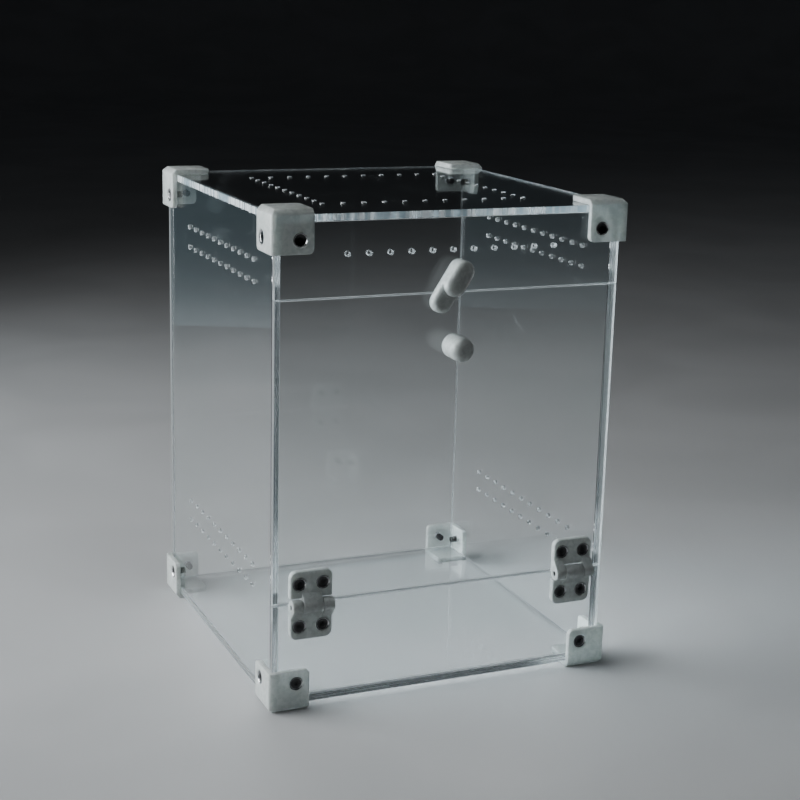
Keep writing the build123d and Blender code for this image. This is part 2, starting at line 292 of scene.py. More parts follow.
def cut_edge(name, across, crosswise, lengthwise, clear, dark, share, depth):
    """A laser-cut edge: slightly frosted, with streaks along it or bars across it.

    Across is the axis of the sheet's thickness. Crosswise and lengthwise are how often
    the pattern changes in a metre, through the thickness and along the edge. Clear is
    the part that isn't frosted. Dark is the colour between the bright streaks. Share is
    the two noise levels between which dark turns to bright, and depth is how strongly
    the streaks bend light.
    """
    material, tree, shader = new_finish(name, {
        "IOR": acrylic_ior, "Transmission Weight": clear,
        "Emission Color": (0.80, 0.93, 1.0, 1), "Emission Strength": piped_light})
    scales = [crosswise if axis == across else lengthwise for axis in range(3)]
    place = add_node(tree, "ShaderNodeTexCoord")
    stretch = add_node(tree, "ShaderNodeMapping", {"Scale": scales})
    lines = add_node(tree, "ShaderNodeTexNoise", {"Scale": 1.0, "Detail": 2.0, "Roughness": 0.5})
    bands = add_node(tree, "ShaderNodeTexNoise", {"Scale": 0.12, "Detail": 1.0})
    both = add_node(tree, "ShaderNodeMix", {"Factor": 0.45}, data_type="FLOAT")
    ramp = add_node(tree, "ShaderNodeMapRange", {"From Min": share[0], "From Max": share[1]},
                    interpolation_type="SMOOTHSTEP")
    wire(tree, (place, "Object", stretch, "Vector"), (stretch, "Vector", lines, "Vector"),
         (stretch, "Vector", bands, "Vector"), (lines, "Fac", both, "A"),
         (bands, "Fac", both, "B"), (both, "Result", ramp, "Value"))
    mask = ramp.outputs["Result"]
    dress(tree, shader, tint(tree, mask, dark, (0.95, 0.99, 1.0)),
          spread(tree, mask, 0.22, 0.30), bump(tree, mask, depth, 0.02))
    let_lamps_through(tree, shader, (0.7, 0.76, 0.78))
    return material


streaked = dict(crosswise=1400.0, lengthwise=14.0, clear=0.86, dark=(0.80, 0.88, 0.92),
                share=(0.36, 0.52), depth=0.05)
# The dark between the lid's bars is painted shade of the vents.
barred_painted_shade = dict(crosswise=30.0, lengthwise=480.0, clear=0.6, dark=(0.36, 0.47, 0.53),
              share=(0.42, 0.60), depth=0.25)
acrylic_edges = [cut_edge(f"acrylic_cut_edge_{word}", axis, **streaked)
                 for axis, word in enumerate("xyz")]
lid_edge_painted_shade = cut_edge("acrylic_cut_edge_lid_painted_shade", 2, **barred_painted_shade)
print("finishes", [m.name for m in acrylic_edges], lid_edge_painted_shade.name)

# %% [markdown]
# The wall of a vent is frosted too and has the same painted glow, but it is short and
# round, and shows as a bright ring. It gets a paler and smoother finish than the edges,
# with the grain in place of the streaks.

# %% The drilled walls
def drilled_wall():
    """The wall of a small hole, frosted by the laser and given a painted glow, so it shows as a
    bright ring.
    """
    material, tree, shader = new_finish("acrylic_drilled_wall", {
        "IOR": acrylic_ior, "Transmission Weight": 0.88,
        "Emission Color": (0.85, 0.95, 1.0, 1), "Emission Strength": piped_light})
    frost = place_group(tree, grain, Scale=900.0).outputs["Height"]
    dress(tree, shader, tint(tree, frost, (0.90, 0.95, 0.96), (0.98, 0.99, 1.0)),
          spread(tree, frost, 0.04, 0.14))
    let_lamps_through(tree, shader, (0.85, 0.9, 0.92))
    return material


acrylic_bore = drilled_wall()
print("finish", acrylic_bore.name)

# %% [markdown]
# ## Milky plastic
#
# Caps, hinges, knob and latch are one material: a white plastic that light enters and
# leaves again a few millimetres away. Subsurface scattering does that. The knob and the
# latch get a greyer copy of it, which is painted shade, and the flat leaves of the hinges
# a copy with painted shade between the two. The mottle clouds the colour, and the grain
# keeps the highlights broad and soft.

# %% Milky moulded plastic
def milky_plastic(name, clear, low, high):
    """Translucent white plastic with a fine matte skin, clouded between two colours."""
    material, tree, shader = new_finish(name, {
        "IOR": 1.47, "Transmission Weight": clear, "Subsurface Weight": 0.65,
        "Subsurface Radius": (1.0, 1.0, 0.95), "Subsurface Scale": 3.5 * MM})
    cloud = place_group(tree, mottle, Scale=480.0).outputs["Cloud"]
    skin = place_group(tree, grain, Scale=2600.0).outputs["Height"]
    marks = place_group(tree, scratch, Scale=260.0, Width=0.012, Coverage=0.5).outputs["Mask"]
    rough = add_node(tree, "ShaderNodeMix", {"Factor": 0.35}, data_type="FLOAT")
    tree.links.new(spread(tree, skin, 0.24, 0.46), rough.inputs["A"])
    tree.links.new(spread(tree, marks, 0.32, 0.55), rough.inputs["B"])
    dress(tree, shader, tint(tree, cloud, low, high), rough.outputs["Result"],
          bump(tree, skin, 0.35, 0.03))
    return material


plastic = milky_plastic("thin_walled_plastic", 0.55, (0.66, 0.70, 0.685), (0.80, 0.83, 0.815))
# The next two are the same plastic made darker: their colours are painted shade.
painted_shade_plastic = milky_plastic("painted_shade_plastic", 0.3, (0.42, 0.44, 0.43), (0.54, 0.56, 0.55))
hinge_painted_shade_plastic = milky_plastic("hinge_painted_shade_plastic", 0.4, (0.44, 0.46, 0.45), (0.56, 0.58, 0.57))
print("finishes", plastic.name, painted_shade_plastic.name, hinge_painted_shade_plastic.name)

# %% [markdown]
# ## Polished steel
#
# A polished screw head mirrors the whole room, and a dim room makes it look nearly black,
# with a bright sliver where its rim mirrors a lamp. Here the steel is a nearly black metal
# with low roughness, a painted dark reflection, and the lip round the dished top is a
# brighter metal, which paints the lamp's glint there brighter. A few scratches stop both
# from looking like a drop of mercury.

# %% Polished steel
def polished_steel(name, low, high):
    """Screw steel between two greys, with hairline marks and a faint tumbled grain."""
    material, tree, shader = new_finish(name, {"Metallic": 1.0})
    cloud = place_group(tree, mottle, Scale=420.0).outputs["Cloud"]
    marks = place_group(tree, scratch, Scale=900.0, Width=0.03, Coverage=0.52).outputs["Mask"]
    skin = place_group(tree, grain, Scale=5200.0).outputs["Height"]
    dress(tree, shader, tint(tree, cloud, low, high), spread(tree, marks, 0.10, 0.30),
          bump(tree, skin, 0.08, 0.01))
    return material


# The nearly black steel paints a dark reflection; the brighter lip steel paints a brighter glint.
steel = polished_steel("polished_steel", (0.055, 0.055, 0.058), (0.10, 0.10, 0.10))
glint_steel = polished_steel("painted_glint_steel", (0.50, 0.50, 0.51), (0.62, 0.62, 0.62))
print("finishes", steel.name, glint_steel.name)

# %% [markdown]
# ## From a shape to a piece
#
# A bmesh in millimetres becomes an object of the scene in one place. It is shaded
# smooth, except along edges that turn by more than a given angle. It then rides on its
# CAD body and stands for the CAD node that it covers.

# %% Helpers for pieces
def shade(shape, degrees=32.0):
    """Smooth shading, with hard lines where two faces meet at more than this angle."""
    limit = math.radians(degrees)
    for face in shape.faces:
        face.smooth = True
    for edge in shape.edges:
        edge.smooth = edge.calc_face_angle(0.0) < limit


def new_object(name, shape):
    """Turns a shape into an object of the scene, and frees the shape."""
    data = bpy.data.meshes.new(name)
    shape.to_mesh(data)
    shape.free()
    thing = bpy.data.objects.new(name, data)
    bpy.context.scene.collection.objects.link(thing)
    return thing


def make_piece(name, shape, body, finishes, node):
    """Turns a shape in millimetres into a piece that rides on a body."""
    bmesh.ops.recalc_face_normals(shape, faces=shape.faces)
    shade(shape)
    bmesh.ops.scale(shape, vec=(MM, MM, MM), verts=shape.verts)
    open_edges = sum(not edge.is_manifold for edge in shape.edges)
    piece = new_object(name, shape)
    for finish in finishes:
        piece.data.materials.append(finish)
    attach(piece, body)
    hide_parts(node)
    print(f"{name}: {len(piece.data.polygons)} faces, {open_edges} open edges")


# %% [markdown]
# Most shapes need the same few moves: put a copy in its place, extrude a flat face,
# join or cut closed shapes, and round some edges. A Boolean modifier works on objects,
# so its shapes become objects for a moment. Its exact solver is the slower one, but it
# leaves closed meshes where faces meet flush.

# %% Helpers for shapes
same_point = 0.0005
same_place = 0.01


def near(a, b):
    """True if two coordinates are the same place, in millimetres."""
    return abs(a - b) < same_place


def verts_in(geometry):
    """The vertices among the mixed parts that an operator gives back."""
    return [part for part in geometry if isinstance(part, bmesh.types.BMVert)]


def copy_shape(shape, place):
    """A copy of a shape, put in its place by a matrix."""
    copy = shape.copy()
    bmesh.ops.transform(copy, matrix=place, verts=copy.verts)
    return copy


def extrude_flat(shape, rise):
    """Extrudes a flat shape along z, upwards, or downwards if the rise is negative."""
    grown = bmesh.ops.extrude_face_region(shape, geom=shape.faces[:])["geom"]
    bmesh.ops.translate(shape, verts=verts_in(grown), vec=(0, 0, rise))
    bmesh.ops.recalc_face_normals(shape, faces=shape.faces)


def combine(base, others, operation):
    """Joins or cuts closed shapes with a Boolean modifier, and gives back one shape."""
    made = []
    for i, shape in enumerate([base, *others]):
        bmesh.ops.recalc_face_normals(shape, faces=shape.faces)
        made.append(new_object(f"work_{i}", shape))
    for other in made[1:]:
        step = made[0].modifiers.new("combine", "BOOLEAN")
        step.operation = operation
        step.solver = "EXACT"
        step.object = other
    bpy.context.view_layer.update()
    result = bmesh.new()
    result.from_object(made[0], bpy.context.evaluated_depsgraph_get())
    for thing in made:
        data = thing.data
        bpy.data.objects.remove(thing)
        bpy.data.meshes.remove(data)
    bmesh.ops.remove_doubles(result, verts=result.verts, dist=same_point)
    bmesh.ops.dissolve_degenerate(result, edges=result.edges, dist=same_point)
    return result


def round_edges(shape, edges, radius, segments):
    """Rounds edges by a radius. One segment makes a plain chamfer."""
    bmesh.ops.bevel(shape, geom=edges, offset=radius, offset_type="OFFSET", affect="EDGES",
                    segments=segments, profile=0.5, material=-1, clamp_overlap=True)


def sharp_edges(shape, degrees=35.0):
    """The edges where two faces meet at more than an angle, outwards."""
    limit = math.radians(degrees)
    return [e for e in shape.edges if e.calc_face_angle(0.0) > limit and e.is_convex]


# %% [markdown]
# ## Sheets
#
# A sheet with holes starts flat: the outline and a ring for each hole are drawn as bare
# edges, and Triangle Fill closes the area between them. Extruding that face by the
# sheet's thickness gives the walls of every hole at once. A Boolean would need 48
# cutters for a side sheet, take longer and leave a messier mesh. Last, all rims get a
# tiny bevel, because a bare rim never catches the light.
#
# While a sheet still lies flat, the place of a face tells what it is: a polished face,
# the cut edge or the wall of a hole. Each kind gets its own finish before the sheet is
# turned into its wall.

# %% A sheet from its outline
# A sheet is this much smaller on each side than its CAD node, so no two faces coincide.
sheet_air = 0.03

hole_sides = 24
rim_ease = 0.14

# The local x, y and z of a sheet lie along these axes of the frame.
run_axes = {"x": (1, 2, 0), "y": (0, 2, 1), "z": (0, 1, 2)}


def outline_with_holes(width, height, holes):
    """A flat face round the origin with round holes (x, y, radius)."""
    shape = bmesh.new()
    size = Matrix.Diagonal((width, height, 1, 1))
    bmesh.ops.create_grid(shape, x_segments=1, y_segments=1, size=0.5, matrix=size)
    bmesh.ops.delete(shape, geom=shape.faces[:], context="FACES_ONLY")
    for x, y, r in holes:
        bmesh.ops.create_circle(shape, segments=hole_sides, radius=r,
                                matrix=Matrix.Translation((x, y, 0)))
    bmesh.ops.triangle_fill(shape, edges=shape.edges[:], use_beauty=True, normal=(0, 0, 1))
    return shape


def sheet(node, body, across, holes, edge=None):
    """A clear sheet in the place of a CAD node, with holes given in the frame's mm."""
    low, high = cad_corners(node)
    middle, size = (low + high) / 2, high - low
    u, v, w = run_axes[across]
    width, height, thickness = (size[axis] - 2 * sheet_air for axis in (u, v, w))
    local = [(a - middle[u], b - middle[v], r) for a, b, r in holes]
    shape = outline_with_holes(width, height, local)
    bmesh.ops.translate(shape, verts=shape.verts, vec=(0, 0, thickness / 2))
    extrude_flat(shape, -thickness)
    for face in shape.faces:
        x, y, _ = face.calc_center_median()
        at_rim = near(abs(x), width / 2) or near(abs(y), height / 2)
        upright = abs(face.normal.z) < 0.5
        face.material_index = 0 if not upright else (1 if at_rim else 2)
    round_edges(shape, sharp_edges(shape), rim_ease, segments=1)
    turn = Matrix.Identity(4)
    for row in range(3):
        for column, axis in enumerate((u, v, w)):
            turn[row][column] = 1.0 if row == axis else 0.0
    bmesh.ops.transform(shape, matrix=Matrix.Translation(middle) @ turn, verts=shape.verts)
    finishes = [acrylic_face, edge or acrylic_edges["xyz".index(across)], acrylic_bore]
    make_piece(f"{node}_clear", shape, body, finishes, node)


# %% [markdown]
# The holes sit where the real box has them: rows of eleven vents at a pitch of 9 mm,
# screw holes 9.5 mm in from the sheets' edges, and two screws in each hinge leaf. Their
# levels are measured from the box's top and bottom and from the seam below the door.

# %% Levels and places of the holes
vent_pitch = 9.0
vent_count = 11
front_vent_drop = 16.0
side_vent_drops = (21.0, 30.0)
side_vent_rises = (43.0, 52.0)
side_vent_shift = -2.8
screw_inset = 9.5
hinge_inset = 15.5
hinge_screw_shifts = (-5.0, 5.0)
hinge_screw_rise = 9.0
upper_seam_rise = 124.0
latch_rise = 6.5

row_spots = [(i - (vent_count - 1) / 2) * vent_pitch for i in range(vent_count)]
row_ends = (row_spots[0], row_spots[-1])
side_vent_z = [box_top - drop for drop in side_vent_drops]
side_vent_z += [box_bottom + rise for rise in side_vent_rises]
low_screw_z, high_screw_z = box_bottom + screw_inset, box_top - screw_inset
front_screw_x = [left_x + screw_inset, right_x - screw_inset]
side_screw_y = [front_y + screw_inset, back_y - screw_inset]
seam_z = (cad_corners("lower_front_panel")[1].z + cad_corners("door_panel")[0].z) / 2
hinge_x = {"left": left_x + hinge_inset, "right": right_x - hinge_inset}
knob_low, knob_high = cad_corners("door_knob")
knob_z = (knob_low.z + knob_high.z) / 2
latch_pivot = Vector((0.0, front_y, seam_z + upper_seam_rise + latch_rise))
print("seam at", round(seam_z, 2), "knob at", round(knob_z, 2), "latch at", latch_pivot[:])

# %% The holes of each sheet
vent_r = 1.0
screw_hole_r = 1.53
latch_hole_r = 1.56
knob_hole_r = 1.6


def holes_at(across, up, radius):
    """Holes of one radius wherever a place across meets a place up the sheet."""
    return [(a, b, radius) for a in across for b in up]


hinge_screw_x = [x + dx for x in hinge_x.values() for dx in hinge_screw_shifts]
lid_holes = holes_at(row_spots, [middle_y + y for y in row_ends], vent_r)
lid_holes += holes_at(row_ends, [middle_y + y for y in row_spots[1:-1]], vent_r)
side_holes = holes_at([middle_y + side_vent_shift + y for y in row_spots], side_vent_z, vent_r)
side_holes += holes_at(side_screw_y, (low_screw_z, high_screw_z), screw_hole_r)
back_holes = holes_at(front_screw_x, (low_screw_z, high_screw_z), screw_hole_r)
upper_holes = holes_at(row_spots, [box_top - front_vent_drop], vent_r)
upper_holes += holes_at(front_screw_x, [high_screw_z], screw_hole_r)
upper_holes += [(latch_pivot.x, latch_pivot.z, latch_hole_r)]
lower_holes = holes_at(front_screw_x, [low_screw_z], screw_hole_r)
lower_holes += holes_at(hinge_screw_x, [seam_z - hinge_screw_rise], screw_hole_r)
door_holes = holes_at(hinge_screw_x, [seam_z + hinge_screw_rise], screw_hole_r)
door_holes += [(0.0, knob_z, knob_hole_r)]
print("holes: lid", len(lid_holes), "side", len(side_holes), "door", len(door_holes))

# %% Make the eight sheets
sheet("floor_panel", "enclosure", "z", [])
sheet("top_panel", "enclosure", "z", lid_holes, lid_edge_painted_shade)
sheet("back_panel", "enclosure", "y", back_holes)
sheet("left_panel", "enclosure", "x", side_holes)
sheet("right_panel", "enclosure", "x", side_holes)
sheet("upper_front_panel", "enclosure", "y", upper_holes)
sheet("lower_front_panel", "enclosure", "y", lower_holes)
sheet("door_panel", "door", "y", door_holes)

# %% [markdown]
# ## Corner caps
#
# A cap is three thin walls that meet at right angles, like the corner of a tray. The
# quickest way is a cube with another cube taken out of it. It needs two tools that later
# pieces use as well: plain boxes and rods, and the pair of cutters for a countersunk
# hole, which is a rod with a cone on top.

# %% Boxes, rods and countersunk bores
bore_r = 1.6
bore_length = 8.0
bore_sides = 48
sink_r = 3.3
sink_over = 0.1

# These turn local z to the front, the left and the right.
to_front = Matrix.Rotation(math.pi / 2, 4, "X")
to_left = Matrix.Rotation(-math.pi / 2, 4, "Y")
to_right = Matrix.Rotation(math.pi / 2, 4, "Y")


def on_line(edge, axis, **spots):
    """True if an edge runs along an axis, and its middle has the given coordinates."""
    a, b = edge.verts[0].co, edge.verts[1].co
    along = abs((b - a).normalized()[axis]) > 0.99
    middle = (a + b) / 2
    return along and all(near(getattr(middle, name), spot) for name, spot in spots.items())


def block(low, high):
    """A box between two corners."""
    shape = bmesh.new()
    low, high = Vector(low), Vector(high)
    size = Matrix.Diagonal((*(high - low), 1))
    bmesh.ops.create_cube(shape, size=1.0, matrix=Matrix.Translation((low + high) / 2) @ size)
    return shape


def rod(radius, length, place, segments=32):
    """A closed cylinder along its local z, its middle at the origin of a matrix."""
    shape = bmesh.new()
    bmesh.ops.create_cone(shape, cap_ends=True, segments=segments, radius1=radius,
                          radius2=radius, depth=length, matrix=place)
    return shape


def sunk_bore(place):
    """Cutters for a countersunk hole. Local z points out of the surface, which is z = 0."""
    depth = sink_r - bore_r
    cone = bmesh.new()
    middle = Matrix.Translation((0, 0, (sink_over - depth) / 2))
    bmesh.ops.create_cone(cone, cap_ends=True, segments=bore_sides, radius1=bore_r,
                          radius2=sink_r + sink_over, depth=depth + sink_over,
                          matrix=place @ middle)
    return [rod(bore_r, bore_length, place, bore_sides), cone]


# %% [markdown]
# The cap's outer edges are worked first, while there are only twelve of them: two
# chamfers and one rounded ridge. After the cut, the free corners of the walls are
# rounded and every rim is softened. The screw holes come last, so their rims stay crisp.

# %% One corner cap, its outer corner at the origin
cap_size = 17.5
cap_wall = 2.4
cap_chamfer = 2.0
cap_ridge_r = 1.2
cap_corner_r = 2.2
cap_soft = 0.35
cap_hole = cap_wall + screw_inset
cutter_over = 5.0


def corner_cap():
    """The cap of the corner that lies towards -X, -Y and -Z."""
    shape = block((0, 0, 0), (cap_size,) * 3)
    low_pair = [e for e in shape.edges if on_line(e, 0, y=0, z=0) or on_line(e, 1, x=0, z=0)]
    round_edges(shape, low_pair, cap_chamfer, segments=1)
    ridge = [e for e in shape.edges if on_line(e, 2, x=0, y=0)]
    round_edges(shape, ridge, cap_ridge_r, segments=5)
    inside = block((cap_wall,) * 3, (cap_size + cutter_over,) * 3)
    shape = combine(shape, [inside], "DIFFERENCE")
    free = [e for e in shape.edges if on_line(e, 0, y=cap_size, z=cap_size)
            or on_line(e, 1, x=cap_size, z=cap_size) or on_line(e, 2, x=cap_size, y=cap_size)]
    round_edges(shape, free, cap_corner_r, segments=6)
    round_edges(shape, sharp_edges(shape, 30.0), cap_soft, segments=3)
    front = Matrix.Translation((cap_hole, 0, cap_hole)) @ to_front
    side = Matrix.Translation((0, cap_hole, cap_hole)) @ to_left
    return combine(shape, sunk_bore(front) + sunk_bore(side), "DIFFERENCE")


cap_shape = corner_cap()
print("cap faces", len(cap_shape.faces), "open", sum(not e.is_manifold for e in cap_shape.edges))

# %% [markdown]
# The other seven caps are this one flipped along one, two or three axes. An odd number
# of flips turns a mesh inside out, which is why `make_piece` works the normals out again.

# %% Eight caps
box_ends = {
    "x": (("left", -1, left_x - cap_wall), ("right", 1, right_x + cap_wall)),
    "y": (("front", -1, front_y - cap_wall), ("back", 1, back_y + cap_wall)),
    "z": (("bottom", -1, box_bottom - cap_wall), ("top", 1, box_top + cap_wall))}
corners = []
for z_word, z_sign, z_face in box_ends["z"]:
    for y_word, y_sign, y_face in box_ends["y"]:
        for x_word, x_sign, x_face in box_ends["x"]:
            corners.append((f"{z_word}_{y_word}_{x_word}", Vector((x_sign, y_sign, z_sign)),
                            Vector((x_face, y_face, z_face))))

for where, sign, tip in corners:
    flip = Matrix.Diagonal((*-sign, 1))
    shape = copy_shape(cap_shape, Matrix.Translation(tip) @ flip)
    make_piece(f"cap_{where}", shape, "enclosure", [plastic],
               f"corner_cap_{where}")
cap_shape.free()

# %% [markdown]
# ## Screws
#
# All screws are M3 with a hexagon socket. Those in the caps and hinges are countersunk
# and lie just below the plastic, so a thin crescent of the hole shows beside each head.
# The knob and the latch are held from inside by button heads. Both heads are spun
# profiles. The socket is a six-sided ring cut into as many points as the round rim
# has, so that the two bridge with clean faces.

# %% A spun head with its socket
head_points = 36
socket_sides = 6
socket_r = 1.155
socket_depth = 0.95


def boundary(shape):
    """The edges round a shape's openings."""
    return [e for e in shape.edges if e.is_boundary]


def bare_edges(shape):
    """The edges that have no face yet."""
    return [e for e in shape.edges if e.is_wire]


def spin_profile(profile, steps, turns=1, rise=0.0):
    """Spins a profile (radius, z) round the z axis. A rise for each step makes a helix."""
    shape = bmesh.new()
    points = [shape.verts.new((r, 0, z)) for r, z in profile]
    lines = [shape.edges.new(pair) for pair in zip(points, points[1:])]
    bmesh.ops.spin(shape, geom=points + lines, cent=(0, 0, 0), axis=(0, 0, 1),
                   dvec=(0, 0, rise), angle=2 * math.pi * turns, steps=steps * turns,
                   use_merge=rise == 0.0, use_duplicate=False)
    bmesh.ops.remove_doubles(shape, verts=shape.verts, dist=same_point)
    return shape


def spun_head(profile):
    """A head from a profile (radius, z) that ends at its top rim, with its socket."""
    shape = spin_profile(profile, head_points)
    rim = boundary(shape)
    top = Matrix.Translation((0, 0, profile[-1][1]))
    bmesh.ops.create_circle(shape, segments=socket_sides, radius=socket_r, matrix=top)
    bmesh.ops.subdivide_edges(shape, edges=bare_edges(shape),
                              cuts=head_points // socket_sides - 1, use_grid_fill=False)
    bmesh.ops.bridge_loops(shape, edges=rim + bare_edges(shape))
    walls = bmesh.ops.extrude_edge_only(shape, edges=boundary(shape))["geom"]
    bmesh.ops.translate(shape, verts=verts_in(walls), vec=(0, 0, -socket_depth))
    bmesh.ops.holes_fill(shape, edges=boundary(shape), sides=0)
    return shape


# %% [markdown]
# The countersunk head's top is dished, and the slope inside its rim is brighter steel,
# which paints the lamp's glint there brighter. That slope is what mirrors a lamp as a
# sliver on one side of the dark disc. The button head's dome is an arc, worked out from
# the height and the two radii that it has to meet.

# %% The outlines of the two heads
sunk_head_r = 2.8
sunk_rim = 0.25
rim_break = 0.03
rim_round = ((0.0, -0.07), (-0.02, -0.02))
lip_from, lip_to = 2.30, 2.75
lip_slope = ((-0.14, -0.17), (-0.27, -0.35))
dish_depth = 0.42
neck_r = 1.45
button_r = 2.85
button_h = 1.65
button_side = 0.35
button_ease = 0.12
button_land_r = 1.5
dome_steps = 6


def sunk_profile():
    """A countersunk head, its rim on z = 0 and its top dished inside the rim."""
    neck_z = -sunk_rim - (sunk_head_r - neck_r)
    return [(0.0, neck_z), (neck_r, neck_z), (sunk_head_r - rim_break, -sunk_rim - rim_break),
            (sunk_head_r, -sunk_rim + rim_break), *((sunk_head_r + r, z) for r, z in rim_round),
            (lip_to, 0.0), *((lip_to + r, z) for r, z in lip_slope), (lip_from, -dish_depth)]


def brighten_lip(shape):
    """Gives the slope inside a dished head's rim the second finish, whose brighter steel paints a
    brighter glint.
    """
    for face in shape.faces:
        middle = face.calc_center_median()
        if lip_from < math.hypot(middle.x, middle.y) < lip_to and middle.z > -dish_depth:
            face.material_index = 1


def button_profile():
    """A domed head that sits on z = 0. The dome is an arc from its side to its land."""
    rise = button_h - button_side
    centre = (rise ** 2 + button_land_r ** 2 - button_r ** 2) / (2 * rise)
    dome_r = math.hypot(button_r, centre)
    first = math.atan2(-centre, button_r)
    last = math.atan2(rise - centre, button_land_r)
    arc = []
    for i in range(dome_steps + 1):
        t = first + (last - first) * i / dome_steps
        arc.append((dome_r * math.cos(t), button_side + centre + dome_r * math.sin(t)))
    return [(0.0, 0.0), (button_r - button_ease, 0.0), (button_r, button_ease), *arc]


print("outline points:", len(sunk_profile()), "and", len(button_profile()))

# %% [markdown]
# The thread is a real helix: one pitch of its outline is spun and lifted at the same
# time, and a plane cuts each end flat. Head and thread make one model of each kind of
# screw, and all the screws are copies of these three.

# %% The thread and the whole screws
thread_r = 1.48
thread_depth = 0.3
thread_pitch = 0.5
crest_from, crest_to = 0.42, 0.58
turn_steps = 20
spare_turns = 3
cut_accuracy = 0.0001
head_overlap = 0.02


def screw_thread(length):
    """A closed threaded shank from z = 0 down to -length."""
    core = thread_r - thread_depth
    profile = [(core, 0.0), (thread_r, crest_from * thread_pitch),
               (thread_r, crest_to * thread_pitch), (core, thread_pitch)]
    turns = math.ceil(length / thread_pitch) + spare_turns
    shape = spin_profile(profile, turn_steps, turns, thread_pitch / turn_steps)
    start = 2 * thread_pitch
    for level, side in ((start, -1), (start + length, 1)):
        everything = shape.verts[:] + shape.edges[:] + shape.faces[:]
        bmesh.ops.bisect_plane(shape, geom=everything, dist=cut_accuracy,
                               plane_co=(0, 0, level), plane_no=(0, 0, side), clear_outer=True)
    bmesh.ops.holes_fill(shape, edges=boundary(shape), sides=0)
    bmesh.ops.translate(shape, verts=shape.verts, vec=(0, 0, -start - length))
    return shape


def add_copy(shape, model, place):
    """Adds a placed copy of a model to a shape."""
    data = bpy.data.meshes.new("copy_work")
    model.to_mesh(data)
    data.transform(place)
    shape.from_mesh(data)
    bpy.data.meshes.remove(data)


def whole_screw(profile, tip, name):
    """Head and thread together, as one model to copy from. The tip is at z = -tip."""
    shape = spun_head(profile)
    top = profile[1][1] + head_overlap
    thread = screw_thread(tip + top)
    add_copy(shape, thread, Matrix.Translation((0, 0, top)))
    thread.free()
    print(name, len(shape.faces), "faces,", len(boundary(shape)), "open edges")
    return shape


cap_screw = whole_screw(sunk_profile(), 8.0, "cap screw")
hinge_screw = whole_screw(sunk_profile(), 6.0, "hinge screw")
handle_screw = whole_screw(button_profile(), 8.0, "handle screw")
for model in (cap_screw, hinge_screw):
    brighten_lip(model)

# %% [markdown]
# A screw's head faces away from the sheet that it is driven into. `seated` turns the
# model that way. Every screw also gets its own twist and a very small tilt, because no
# two are ever driven quite alike, and flat heads show that in what they mirror.

# %% How a screw is seated
twist_step = 0.37
lean_steps = (2.3, 1.7)
tilt = math.radians(0.7)
screws_made = []


def seated(point, outward, sink):
    """The place of a screw at a point, facing outward, sunk by some millimetres."""
    aim = Vector(outward).to_track_quat("Z", "Y").to_matrix().to_4x4()
    screws_made.append(point)
    number = len(screws_made)
    lean = Matrix.Rotation(tilt * math.sin(lean_steps[0] * number), 4, "X")
    lean = lean @ Matrix.Rotation(tilt * math.cos(lean_steps[1] * number), 4, "Y")
    twist = Matrix.Rotation(twist_step * number, 4, "Z")
    sunk = Vector(point) - sink * Vector(outward)
    return Matrix.Translation(sunk) @ aim @ lean @ twist


def screw_set(node, body, model, places):
    """The screws of one CAD node, as one piece."""
    shape = bmesh.new()
    for place in places:
        add_copy(shape, model, place)
    make_piece(f"{node}_steel", shape, body, [steel, glint_steel], node)


# %% Put the screws in
sunk_below = 0.2
leaf_thick = 2.5
latch_head_gap = 0.15
sheet_inside = cad_corners("door_panel")[1].y

for where, sign, tip in corners:
    level = low_screw_z if sign.z < 0 else high_screw_z
    x_spot, y_spot = front_screw_x[sign.x > 0], side_screw_y[sign.y > 0]
    screw_set(f"corner_screws_{where}", "enclosure", cap_screw,
              [seated((x_spot, tip.y, level), (0, sign.y, 0), sunk_below),
               seated((tip.x, y_spot, level), (sign.x, 0, 0), sunk_below)])

for side, x in hinge_x.items():
    for word, body, rise in (("fixed", "enclosure", -hinge_screw_rise),
                             ("door", "door", hinge_screw_rise)):
        spots = [(x + dx, front_y - leaf_thick, seam_z + rise) for dx in hinge_screw_shifts]
        screw_set(f"{side}_hinge_{word}_screws", body, hinge_screw,
                  [seated(spot, (0, -1, 0), sunk_below) for spot in spots])

screw_set("door_knob_screw", "door", handle_screw,
          [seated((0, sheet_inside, knob_z), (0, 1, 0), 0)])
screw_set("latch_screw", "latch", handle_screw,
          [seated((0, sheet_inside + latch_head_gap, latch_pivot.z), (0, 1, 0), 0)])
for model in (cap_screw, hinge_screw, handle_screw):
    model.free()
print("screws:", len(screws_made))

# %% [markdown]
# ## Hinges
#
# A butt hinge is two leaves whose knuckles take turns on one pin. The moulded leaf
# swells into its knuckles, as if a skin were stretched over the barrel and the root of
# the leaf. Convex Hull does exactly that, from two rings and a few points.
#
# In these shapes the pin lies along X, the leaf stands up and its back is at +Y.

# %% A knuckle
barrel_r = 3.0
barrel_air = 0.3
barrel_sides = 48
leaf_back = barrel_r + barrel_air
leaf_front = leaf_back - leaf_thick
ramp_top = 5.6
ramp_inset = 0.1
back_inset = 0.05
knuckle_soft = 0.35


